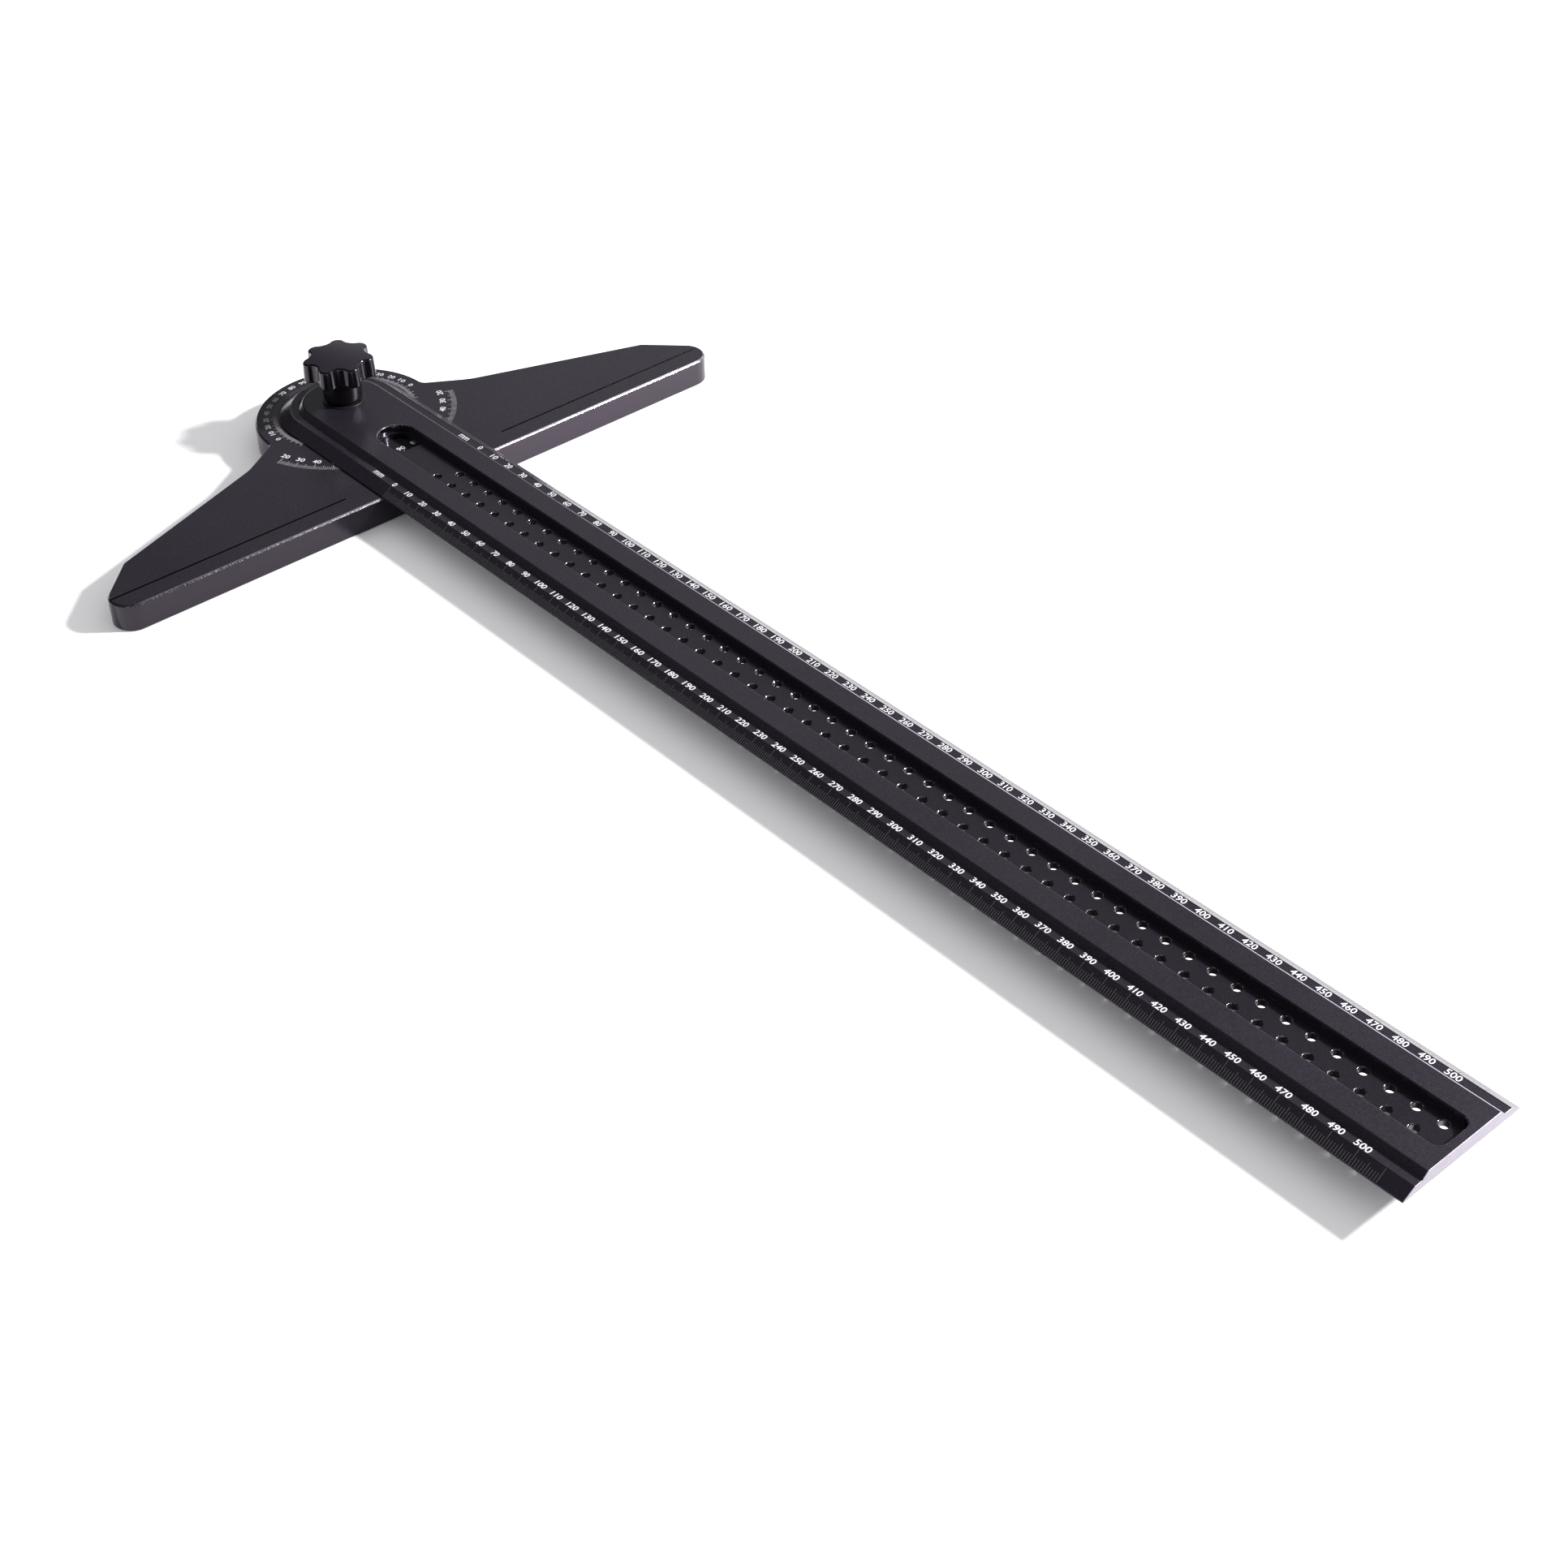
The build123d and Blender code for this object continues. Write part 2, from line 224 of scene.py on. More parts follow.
class Material(Graph):
    """A new material with one principled shader."""

    def __init__(self, name):
        self.material = bpy.data.materials.new(name)
        self.material.use_nodes = True
        super().__init__(self.material.node_tree)
        output = self.node("ShaderNodeOutputMaterial")
        self.shader = self.node("ShaderNodeBsdfPrincipled")
        self.feed(output.inputs[0], self.shader.outputs[0])

    def set(self, name, value):
        self.feed(self.shader.inputs[name], value)

    def coord(self, scale=(1, 1, 1)):
        source = self.node("ShaderNodeTexCoord").outputs["Object"]
        return self.node("ShaderNodeMapping", {"Vector": source, "Scale": scale}).outputs[0]

    def noise(self, vector, scale, detail=3.0, rough=0.55):
        inputs = {"Vector": vector, "Scale": scale, "Detail": detail, "Roughness": rough}
        return self.node("ShaderNodeTexNoise", inputs).outputs[0]

    def bump(self, height, strength, distance=0.00002, under=None):
        inputs = {"Height": height, "Strength": strength, "Distance": distance}
        if under is not None:
            inputs["Normal"] = under
        return self.node("ShaderNodeBump", inputs).outputs[0]


# ---------------------------------------------------------------------------
# anodised aluminium
# ---------------------------------------------------------------------------
TINT = (0.0130, 0.0108, 0.0165)
BLACK = (0.0, 0.0, 0.0)


class Anodised(Material):
    """Black anodised aluminium: blasted grain on the flats, smoother cut faces, worn edges."""

    def __init__(self, name):
        super().__init__(name)
        self.vector = self.coord()
        self.fine = self.noise(self.vector, scale=2800.0, detail=2.0, rough=0.70)
        self.medium = self.noise(self.vector, scale=900.0, rough=0.6)
        self.broad = self.noise(self.vector, scale=14.0, rough=0.5)
        self.sparkle = self.noise(self.vector, scale=2100.0, detail=2.0)
        self.place = self.axes(self.vector)
        self.normal = self.axes(self.node("ShaderNodeTexCoord").outputs["Normal"])
        # how far a face looks along X and along Z, either way
        self.face_x = self.math("ABSOLUTE", self.normal["X"])
        self.face_z = self.math("ABSOLUTE", self.normal["Z"])

    def coat(self, rough, cut, chip, bevel, upright):
        """Starts colour, metal, roughness and specular level from masks of the face kinds.

        cut: faces cut after blasting; chip: the part of them that takes bare specks;
        bevel: long sloping faces; upright: upright walls.
        """
        self.chip = chip
        self.upright = upright
        dark = tuple(c * 0.80 for c in TINT)
        light = tuple(c * 1.9 for c in TINT)
        base = self.mix_colour(dark, by=self.ramp(self.broad, over=(0.35, 0.65)), to=TINT)
        grain = self.ramp(self.fine, over=(0.52, 0.74), to=(0.0, 0.9))
        base = self.mix_colour(base, by=self.times(grain, self.invert(cut)), to=light)

        # sharp edges are where the rounded normal leaves the true one
        patches = self.noise(self.vector, scale=160.0, detail=4.0, rough=0.65)
        bevelled = self.node("ShaderNodeBevel", {"Radius": 0.00030}, samples=6)
        self.rounded = bevelled.outputs[0]
        true_normal = self.node("ShaderNodeNewGeometry").outputs["Normal"]
        edge = self.ramp(self.invert(self.dot(self.rounded, true_normal)), over=(0.03, 0.22))
        wear = self.times(edge, self.ramp(patches, over=(0.54, 0.70)))
        self.base = self.mix_colour(base, by=self.times(wear, 0.22), to=(0.24, 0.22, 0.25))
        self.metal = self.times(wear, 0.3)

        self.set("IOR", 1.62)
        flat_tint, upright_tint = (0.94, 0.875, 1.0), (0.93, 0.765, 1.0)
        self.set("Specular Tint", self.mix_colour(flat_tint, by=upright, to=upright_tint))
        self.rough = self.math(
            "ADD",
            self.ramp(self.medium, to=(rough - 0.04, rough + 0.05)),
            self.ramp(self.broad, to=(-0.03, 0.03)),
        )
        # mask and its roughness range
        for mask, span in (
            (upright, (0.21, 0.25)),
            (bevel, (0.17, 0.22)),
            (cut, (0.12, 0.18)),
            (chip, (0.15, 0.21)),
        ):
            self.rough = self.mix_value(self.rough, by=mask, to=self.ramp(self.medium, to=span))
        self.level = self.ramp(self.fine, over=(0.38, 0.66), to=(0.36, 0.66))
        # mask and its specular level
        for mask, level in ((cut, 0.5), (chip, 1.0), (bevel, 0.78)):
            self.level = self.mix_value(self.level, by=mask, to=level)

    def add_specks(self, specks):
        """Bare metal specks on the cut edges, then painted shade and a painted sheen on upright
        walls.
        """
        self.base = self.mix_colour(self.base, by=specks, to=(0.46, 0.44, 0.47))
        self.metal = self.math("MAXIMUM", self.metal, self.times(specks, 0.92))
        # painted sheen: the specular level of upright walls rises from the -Y side to the +Y
        # side, following how the light falls
        wall_level = self.ramp(self.place["Y"], over=(-0.03, 0.03), to=(0.37, 0.60))
        self.level = self.mix_value(self.level, by=self.upright, to=wall_level)
        # painted shade: upright walls are darkened towards black so that the key light hardly
        # shows on them
        self.base = self.mix_colour(self.base, by=self.times(self.upright, 0.75), to=BLACK)

    def grain_bumps(self, matt):
        """Blasted grain where matt is 1, and coarser bumps on the chipped edges."""
        grain = self.bump(self.times(self.fine, matt), strength=0.26, under=self.rounded)
        chips = self.times(self.sparkle, self.chip)
        return self.bump(chips, strength=1.0, distance=0.00006, under=grain)

    def finish(self, normal):
        self.set("Base Color", self.base)
        self.set("Roughness", self.rough)
        self.set("Metallic", self.metal)
        self.set("Specular IOR Level", self.level)
        self.set("Normal", normal)
        return self.material


def blacken_sight_lines(m):
    """The head's sight lines are narrow cuts in its top, given painted shade: near black and
    hardly reflecting.
    """
    line_x, half_width, from_y, depth = 0.060, 0.00050, 0.0397, 0.0006
    place = m.axes(m.coord())
    across = m.math("ABSOLUTE", m.math("SUBTRACT", place["X"], line_x))
    painted_groove_shade = m.times(
        m.math("LESS_THAN", across, half_width),
        m.above(m.math("ABSOLUTE", place["Y"]), from_y),
        m.above(place["Z"], HEAD_TOP * MM - depth),
    )
    # painted shade: each cut is coloured near black within, as shade that falls in the cut
    m.base = m.mix_colour(m.base, by=painted_groove_shade, to=(0.0012, 0.0011, 0.0015))
    m.level = m.mix_value(m.level, by=painted_groove_shade, to=0.06)
    m.metal = m.times(m.metal, m.invert(painted_groove_shade))


def anodised_head():
    m = Anodised("head_anodised")
    # the upper third of the fence's chamfer keeps the blasted look, with an uneven border
    wander = m.math("SUBTRACT", m.noise(m.vector, scale=700.0, rough=0.6), 0.5)
    uneven_x = m.math("ADD", m.place["X"], m.times(wander, 0.00030))
    upper = m.times(
        m.ramp(uneven_x, over=((FENCE_X - 0.46) * MM, (FENCE_X - 0.54) * MM)),
        m.above(m.place["X"], (FENCE_X - 0.85) * MM),
        m.above(m.face_x, 0.5),
    )
    sloping = m.times(
        m.ramp(m.face_z, over=(0.30, 0.45)),
        m.ramp(m.face_z, over=(0.97, 0.90)),
    )
    cut = m.times(sloping, m.invert(upper))
    upright = m.ramp(m.face_z, over=(0.30, 0.15))
    m.coat(rough=0.40, cut=cut, chip=cut, bevel=0.0, upright=upright)

    # the specks' spread is a painted glint: fewer towards the fence's -Y end, where they also
    # keep to the chamfer's foot, following how the light catches the chamfer
    glint_threshold = m.ramp(m.place["Y"], over=(-0.135, 0.035), to=(0.585, 0.385))
    glint_foot = m.ramp(m.place["Z"], over=((HEAD_TOP - 0.20) * MM, (HEAD_TOP - 0.36) * MM))
    specks = m.times(
        m.ramp(m.math("SUBTRACT", m.sparkle, glint_threshold), over=(0.0, 0.08)),
        m.times(cut, m.ramp(m.face_x, over=(0.50, 0.66))),
        m.math("MAXIMUM", glint_foot, m.ramp(m.place["Y"], over=(-0.055, -0.030))),
    )
    m.add_specks(specks)
    blacken_sight_lines(m)
    return m.finish(m.grain_bumps(matt=m.invert(cut)))


def darken_pocket(m):
    """The pocket floor is made darker, and a little smoother, than the blasted top."""
    low = m.math("LESS_THAN", m.place["Z"], (BLADE_Z + 2.75) * MM)
    pocket = m.times(low, m.ramp(m.normal["Z"], over=(0.90, 0.97)))
    m.base = m.mix_colour(m.base, by=m.times(pocket, 0.35), to=BLACK)
    m.rough = m.mix_value(m.rough, by=pocket, to=m.ramp(m.medium, to=(0.29, 0.34)))


def rub_far_edge(m, tilt):
    """A painted highlight: the top edge round on the +Y side is made bright metal, stronger
    towards the free end, where the light catches it.
    """
    painted_edge_highlight = m.times(
        m.ramp(m.normal["Y"], over=(0.05, 0.14)),
        m.ramp(tilt, over=(0.72, 0.66)),
        m.above(m.place["Z"], (BLADE_Z + 5.70) * MM),
        m.ramp(m.place["X"], over=(0.090, 0.420), to=(0.0, 0.85)),
    )
    # painted highlight: a bright metal strip along the edge round
    m.base = m.mix_colour(m.base, by=painted_edge_highlight, to=(0.80, 0.76, 0.84))
    m.metal = m.math("MAXIMUM", m.metal, painted_edge_highlight)


def bare_sawn_end(m):
    """The blade's end was sawn after anodising: bare metal with fine saw lines."""
    end = BLADE_END * MM
    sawn = m.ramp(m.axes(m.coord())["X"], over=(end - 0.00022, end - 0.00008))
    lines = m.noise(m.coord(scale=(1, 260, 9000)), scale=1.0, detail=2.0, rough=0.5)
    bare = m.mix_colour((0.27, 0.254, 0.282), by=m.ramp(lines), to=(0.385, 0.362, 0.400))
    m.base = m.mix_colour(m.base, by=sawn, to=bare)
    m.rough = m.mix_value(m.rough, by=sawn, to=0.42)
    m.metal = m.math("MAXIMUM", m.metal, m.times(sawn, 0.75))


def anodised_blade():
    m = Anodised("blade_anodised")
    # the round back end belongs to the outer section, not to the cut holes and slot
    back_end_x = 0.031
    side = m.times(m.ramp(m.face_x, over=(0.10, 0.30)), m.above(m.place["X"], back_end_x))
    cut = m.math("MAXIMUM", side, m.ramp(m.face_z, over=(0.45, 0.25)))
    chip = m.times(cut, m.ramp(m.face_z, over=(0.25, 0.45)))
    tilt = m.math("ABSOLUTE", m.normal["Y"])
    bevel = m.times(m.ramp(tilt, over=(0.07, 0.16)), m.ramp(m.face_z, over=(0.30, 0.60)))
    m.coat(rough=0.36, cut=cut, chip=chip, bevel=bevel, upright=0.0)

    # cut walls that look along X get painted shade (a darker colour), but shine more
    wall = m.math("SUBTRACT", cut, chip)
    wall_level = m.ramp(m.face_x, over=(0.55, 0.85), to=(0.22, 1.0))
    m.level = m.mix_value(m.level, by=wall, to=wall_level)
    polish = m.times(wall, m.ramp(m.face_x, over=(0.55, 0.85)))
    m.rough = m.mix_value(m.rough, by=polish, to=0.11)
    # painted shade: walls facing X are darkened towards black so the key light hardly shows on
    # them
    shade = m.times(wall, m.ramp(m.face_x, over=(0.10, 0.50), to=(0.0, 0.75)))
    m.base = m.mix_colour(m.base, by=shade, to=BLACK)

    m.add_specks(m.times(chip, m.ramp(m.sparkle, over=(0.46, 0.58), to=(0.0, 0.30))))
    darken_pocket(m)
    rub_far_edge(m, tilt)
    bare_sawn_end(m)
    matt = m.times(m.invert(cut), m.invert(m.times(bevel, 0.85)))
    drawn = m.noise(m.coord(scale=(18, 9000, 9000)), scale=1.0, detail=2.0, rough=0.5)
    return m.finish(m.bump(drawn, strength=0.08, under=m.grain_bumps(matt)))


# ---------------------------------------------------------------------------
# other materials
# ---------------------------------------------------------------------------
def marking(name, low, high, fade=None):
    """Laser-bleached mark in greys from low to high, slightly uneven.

    fade = (direction, (from, to), factor): dims to factor over a stretch along direction;
    with direction None the stretch is measured by the distance from the X axis along Y.
    """
    def grey(value):
        return (value, value * 0.985, value * 1.02)

    m = Material(name)
    vector = m.coord()
    grain = m.noise(vector, scale=1800.0, rough=0.6)
    worn = m.noise(vector, scale=320.0, detail=4.0, rough=0.7)
    colour = m.mix_colour(grey(low), by=m.ramp(grain), to=grey(high))
    worn_mask = m.ramp(worn, over=(0.60, 0.74), to=(0.0, 0.35))
    colour = m.mix_colour(colour, by=worn_mask, to=grey(low * 0.5))
    if fade is not None:
        direction, (start, stop), factor = fade
        if direction is None:
            along = m.math("ABSOLUTE", m.axes(vector)["Y"])
        else:
            along = m.dot(vector, direction)
        gain = m.ramp(along, over=(start * MM, stop * MM), to=(1.0, factor))
        dimmed = m.node("ShaderNodeVectorMath", {0: colour, "Scale": gain}, operation="SCALE")
        colour = dimmed.outputs[0]
    m.set("Base Color", colour)
    m.set("Roughness", m.ramp(grain, to=(0.50, 0.70)))
    m.set("Normal", m.bump(grain, strength=0.2))
    return m.material


def knob_plastic():
    """Moulded black plastic: gloss on the sides, fine spark-eroded texture on the crown."""
    m = Material("knob_plastic")
    vector = m.coord()
    facing = m.axes(m.node("ShaderNodeNewGeometry").outputs["Normal"])
    crown = m.ramp(facing["Z"], over=(0.80, 0.97))
    flow = m.noise(vector, scale=60.0, rough=0.5)
    colour = m.mix_colour((0.0022, 0.0020, 0.0026), by=m.ramp(flow), to=(0.0034, 0.0030, 0.0042))
    m.set("Base Color", m.mix_colour(colour, by=crown, to=(0.0150, 0.0116, 0.0176)))
    # the boss under the lobes is less glossy
    neck_span = ((KNOB_Z + BOSS_HEIGHT) * MM, (KNOB_Z + BOSS_HEIGHT - 0.7) * MM)
    neck = m.ramp(m.axes(vector)["Z"], over=neck_span)
    rough = m.mix_value(m.ramp(flow, to=(0.12, 0.17)), by=neck, to=0.25)
    m.set("Roughness", m.mix_value(rough, by=crown, to=0.37))
    m.set("Specular IOR Level", m.mix_value(0.5, by=crown, to=0.43))
    m.set("IOR", 1.52)
    m.set("Specular Tint", (0.95, 0.85, 1.0))
    grain = m.noise(vector, scale=3600.0, detail=2.0, rough=0.6)
    scratches = m.noise(m.coord(scale=(1, 1, 0.05)), scale=700.0, rough=0.6)
    crown_bump = m.bump(grain, strength=0.30, distance=0.00003)
    side_bump = m.bump(scratches, strength=0.04)
    inputs = {0: crown, 4: side_bump, 5: crown_bump}
    m.set("Normal", m.node("ShaderNodeMix", inputs, data_type="VECTOR").outputs[1])
    return m.material


def metal(name, dark, light, rough, metallic=1.0):
    m = Material(name)
    grain = m.noise(m.coord(), scale=500.0, detail=4.0, rough=0.6)
    spots = m.noise(m.coord(), scale=220.0, rough=0.6)
    colour = m.mix_colour(dark, by=m.ramp(grain), to=light)
    spot_mask = m.ramp(spots, over=(0.62, 0.75), to=(0.0, 0.4))
    colour = m.mix_colour(colour, by=spot_mask, to=tuple(c * 0.55 for c in dark))
    m.set("Base Color", colour)
    m.set("Metallic", metallic)
    m.set("Roughness", m.ramp(grain, to=(rough - 0.06, rough + 0.08)))
    m.set("Normal", m.bump(grain, strength=0.25))
    return m.material


def nylon():
    m = Material("nylon")
    grain = m.noise(m.coord(), scale=700.0, rough=0.6)
    colour = m.mix_colour((0.72, 0.71, 0.66), by=m.ramp(grain), to=(0.84, 0.83, 0.79))
    m.set("Base Color", colour)
    m.set("Roughness", m.ramp(grain, to=(0.42, 0.58)))
    m.set("Subsurface Weight", 0.15)
    m.set("Subsurface Radius", (0.001, 0.001, 0.0008))
    m.set("Normal", m.bump(grain, strength=0.2, distance=0.00003))
    return m.material


head_mat = anodised_head()
blade_mat = anodised_blade()
mark_mat = marking("marking_white", low=0.50, high=0.66)
ring_mat = marking("marking_ring", low=0.32, high=0.44, fade=(None, (27.6, 24.5), 0.22))
# painted shadow: the numbers on the -X-Y diagonal (about 30 to 60), where the knob's shadow
# falls, are dimmed
ring_number_mat = marking(
    "marking_ring_numbers", low=0.42, high=0.56,
    fade=((-0.7071, -0.7071, 0.0), (30.6, 32.6), 0.45),
)
wing_mat = marking("marking_wing", low=0.32, high=0.46)
faint_mat = marking("marking_faint", low=0.075, high=0.105)
knob_mat = knob_plastic()
steel_mat = metal("zinc_steel", dark=(0.50, 0.50, 0.52), light=(0.68, 0.68, 0.70), rough=0.36)
bronze_mat = metal("bronze", dark=(0.42, 0.27, 0.12), light=(0.58, 0.40, 0.20), rough=0.38)
black_mat = metal(
    "black_steel", dark=(0.0050, 0.0046, 0.0056), light=(0.010, 0.0092, 0.011),
    rough=0.40, metallic=0.0,
)
brass_mat = metal("insert_brass", dark=(0.62, 0.45, 0.17), light=(0.78, 0.60, 0.28), rough=0.30)
nylon_mat = nylon()

for node_name, material in (
    ("head_plate", head_mat),
    ("ruler_blade", blade_mat),
    ("pivot_bolt", steel_mat),
    ("pivot_bush", bronze_mat),
    ("friction_washer", nylon_mat),
    ("flat_washer", black_mat),
    ("knob_insert", brass_mat),
    ("knob_body", knob_mat),
):
    slots = nodes[node_name].data.materials
    slots.clear()
    slots.append(material)

# ---------------------------------------------------------------------------
# knob: seven rounded lobes joined by concave flutes, crowned top
# ---------------------------------------------------------------------------
LOBES = 7
LOBE_PHASE = math.radians(96.6)     # direction of the first lobe
TIP_RADIUS = 15.65                  # from the axis to a lobe's tip
ROOT_RADIUS = 12.4                  # from the axis to a flute's bottom
LOBE_RADIUS = 3.6
ARC_STEPS = 32                      # along each lobe and each flute
BORE_RADIUS, BORE_DEPTH = 5.0, 14.5
BOSS_LOW_RADIUS, BOSS_TOP_RADIUS = 8.3, 8.9
BOSS_FILLET = 2.4
BLEND_WIDTH, BLEND_HEIGHT = 0.6, 0.7    # between the boss and the underside of the lobes
LOBE_HEIGHT = 9.6                   # from the lobes' underside to the top of the crown
LOW_ROUND, TOP_ROUND = 0.6, 0.9     # edge radii of the lobed part
TOP_ROUND_SWEEP = math.radians(81)
WALL_INSET = 8.2 * math.tan(math.radians(2.5))  # height of the drafted wall and its draft
DOME_RADIUS = 95.0
DOME_CENTRE_Z = BOSS_HEIGHT + LOBE_HEIGHT - DOME_RADIUS


def polar(radius, angle):
    return radius * math.cos(angle), radius * math.sin(angle)


def bearing(start, target, near):
    """Direction from start to target, as the equal angle within half a turn of near."""
    angle = math.atan2(target[1] - start[1], target[0] - start[0])
    return near + ((angle - near + math.pi) % (2 * math.pi) - math.pi)


def arc(centre, radius, first, last, outward):
    """Arc points as (x, y, outward normal x, outward normal y), without the last one."""
    points = []
    for i in range(ARC_STEPS):
        angle = first + (last - first) * i / ARC_STEPS
        x, y = polar(1.0, angle)
        points.append((centre[0] + radius * x, centre[1] + radius * y, outward * x, outward * y))
    return points


def star_outline():
    """Lobes and flutes as tangent arcs, anticlockwise."""
    half = math.pi / LOBES
    reach = TIP_RADIUS - LOBE_RADIUS            # from the axis to a lobe's centre
    cos = math.cos(half)
    flute_radius = (
        (reach**2 + ROOT_RADIUS**2 - 2 * reach * cos * ROOT_RADIUS - LOBE_RADIUS**2)
        / (2 * (LOBE_RADIUS - ROOT_RADIUS + reach * cos))
    )
    flute_reach = ROOT_RADIUS + flute_radius
    points = []
    for k in range(LOBES):
        angle = LOBE_PHASE + k * 2 * half
        lobe = polar(reach, angle)
        flute = polar(flute_reach, angle + half)
        flute_before = polar(flute_reach, angle - half)
        next_lobe = polar(reach, angle + 2 * half)
        first = bearing(lobe, flute_before, near=angle)
        last = bearing(lobe, flute, near=angle)
        points += arc(lobe, LOBE_RADIUS, first, last, outward=1)
        inward = angle + half + math.pi
        first = bearing(flute, lobe, near=inward)
        last = bearing(flute, next_lobe, near=inward)
        points += arc(flute, flute_radius, first, last, outward=-1)
    return points


def quarter_turn(first, steps):
    """Angles from step first up to 90 degrees."""
    return [math.radians(90 * k / steps) for k in range(first, steps + 1)]


def boss_profile():
    """Radius and height from the bore's closed end, down it, and up the outside of the boss."""
    profile = [(BORE_RADIUS, BORE_DEPTH), (BORE_RADIUS, BORE_DEPTH - 0.15)]
    profile += [(BORE_RADIUS, BORE_DEPTH * (1 - k / 7)) for k in range(1, 7)]
    profile.append((BORE_RADIUS, 0.0))
    profile.append(((BORE_RADIUS + BOSS_LOW_RADIUS - BOSS_FILLET) / 2, 0.0))
    for t in quarter_turn(0, 8):
        radius = BOSS_LOW_RADIUS + 0.05 - BOSS_FILLET + BOSS_FILLET * math.sin(t)
        profile.append((radius, BOSS_FILLET * (1 - math.cos(t))))
    blend_z = BOSS_HEIGHT - BLEND_HEIGHT
    for k in range(1, 7):
        z = BOSS_FILLET + (blend_z - BOSS_FILLET) * k / 6
        growth = (BOSS_TOP_RADIUS - BOSS_LOW_RADIUS) * z / BOSS_HEIGHT
        profile.append((BOSS_LOW_RADIUS + growth, z))
    for t in quarter_turn(1, 4):
        radius = BOSS_TOP_RADIUS + BLEND_WIDTH * (1 - math.cos(t))
        profile.append((radius, blend_z + BLEND_HEIGHT * math.sin(t)))
    return profile


def dome_z(x, y):
    return DOME_CENTRE_Z + math.sqrt(DOME_RADIUS**2 - x * x - y * y)


def lobed_rings(outline, angles):
    """Rings from the boss across the underside, up the wall and over the crown."""
    def star(inset, heights):
        return [
            (x - out_x * inset, y - out_y * inset, z)
            for (x, y, out_x, out_y), z in zip(outline, heights)
        ]

    def level(z):
        return [z] * len(outline)

    rings = []
    rim = star(LOW_ROUND, level(BOSS_HEIGHT))
    inner = [polar(BOSS_TOP_RADIUS + BLEND_WIDTH, angle) for angle in angles]
    for k in range(1, 6):
        f = k / 5
        rings.append([
            (a[0] * (1 - f) + b[0] * f, a[1] * (1 - f) + b[1] * f, BOSS_HEIGHT)
            for a, b in zip(inner, rim)
        ])
    for t in quarter_turn(1, 6):
        z = BOSS_HEIGHT + LOW_ROUND * (1 - math.cos(t))
        rings.append(star(LOW_ROUND * (1 - math.sin(t)), level(z)))
    # the top rounding starts below where each wall meets the dome
    edge = star(WALL_INSET + TOP_ROUND, level(0.0))
    round_z = [dome_z(x, y) - TOP_ROUND * math.sin(TOP_ROUND_SWEEP) for x, y, _ in edge]
    wall_z = BOSS_HEIGHT + LOW_ROUND
    for k in range(1, 9):
        f = k / 8
        rings.append(star(WALL_INSET * f, [wall_z + (z - wall_z) * f for z in round_z]))
    for k in range(1, 9):
        t = TOP_ROUND_SWEEP * k / 8
        inset = WALL_INSET + TOP_ROUND * (1 - math.cos(t))
        rings.append(star(inset, [z + TOP_ROUND * math.sin(t) for z in round_z]))
    crown = rings[-1]
    for k in range(1, 14):
        s = 1 - k / 14
        rings.append([(x * s, y * s, dome_z(x * s, y * s)) for x, y, _ in crown])
    return rings


def build_knob():
    outline = star_outline()
    angles = [math.atan2(point[1], point[0]) for point in outline]
    rings = [[(*polar(radius, t), z) for t in angles] for radius, z in boss_profile()]
    rings += lobed_rings(outline, angles)
    verts = [point for ring in rings for point in ring]
    top, bore_end = len(verts), len(verts) + 1
    verts += [(0, 0, BOSS_HEIGHT + LOBE_HEIGHT), (0, 0, BORE_DEPTH)]
    count = len(outline)
    steps = [(i, (i + 1) % count) for i in range(count)]
    faces = []
    for start in range(0, top - count, count):
        above = start + count
        faces += [(start + i, start + j, above + j, above + i) for i, j in steps]
    faces += [(top - count + i, top - count + j, top) for i, j in steps]
    faces += [(i, bore_end, j) for i, j in steps]
    raised = [(x, y, z + KNOB_Z) for x, y, z in verts]
    return mesh_object("star_knob", raised, faces, smooth=True)


knob = build_knob()
knob.data.materials.append(knob_mat)
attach(knob, "knob")
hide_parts("knob_body")

# ---------------------------------------------------------------------------
# head scales: filled engraving on the plate's top
# ---------------------------------------------------------------------------
# every so many degrees: inner radius, outer radius, width; the first row that divides wins
RING_TICKS = ((10, 29.4, 32.5, 0.14), (5, 29.4, 31.9, 0.12), (1, 29.4, 31.2, 0.10))
WING_TICKS = ((10, 44.3, 48.2, 0.16), (5, 45.0, 48.2, 0.14), (1, 45.9, 48.2, 0.12))
RING_NUMBER_RADIUS, WING_NUMBER_RADIUS = 34.2, 42.15


def tick_size(value, rows):
    return next(row[1:] for row in rows if value % row[0] == 0)


def both_sides(first, step):
    """(side, degrees) up to 90 on the +Y and -Y sides; the 90 they share comes once."""
    pairs = [(side, degrees) for side in (1, -1) for degrees in range(first, 91, step)]
    pairs.remove((-1, 90))
    return pairs


def dial_ticks(name, first, direction, rows):
    """Radial ticks; direction 1 counts from the Y axis towards -X, -1 from it towards +X."""
    batch = Batch()
    z = HEAD_TOP - MARK_THICKNESS / 2
    for side, degrees in both_sides(first, step=1):
        inner, outer, width = tick_size(degrees, rows)
        cos, sin = polar(1.0, math.radians(side * (90 + direction * degrees)))
        base = []
        for radius, half in (
            (inner, width / 2), (outer, width / 2), (outer, -width / 2), (inner, -width / 2),
        ):
            base.append((radius * cos + half * sin, radius * sin - half * cos, z))
        batch.prism(base, (0, 0, MARK_THICKNESS))
    return batch.make(name)


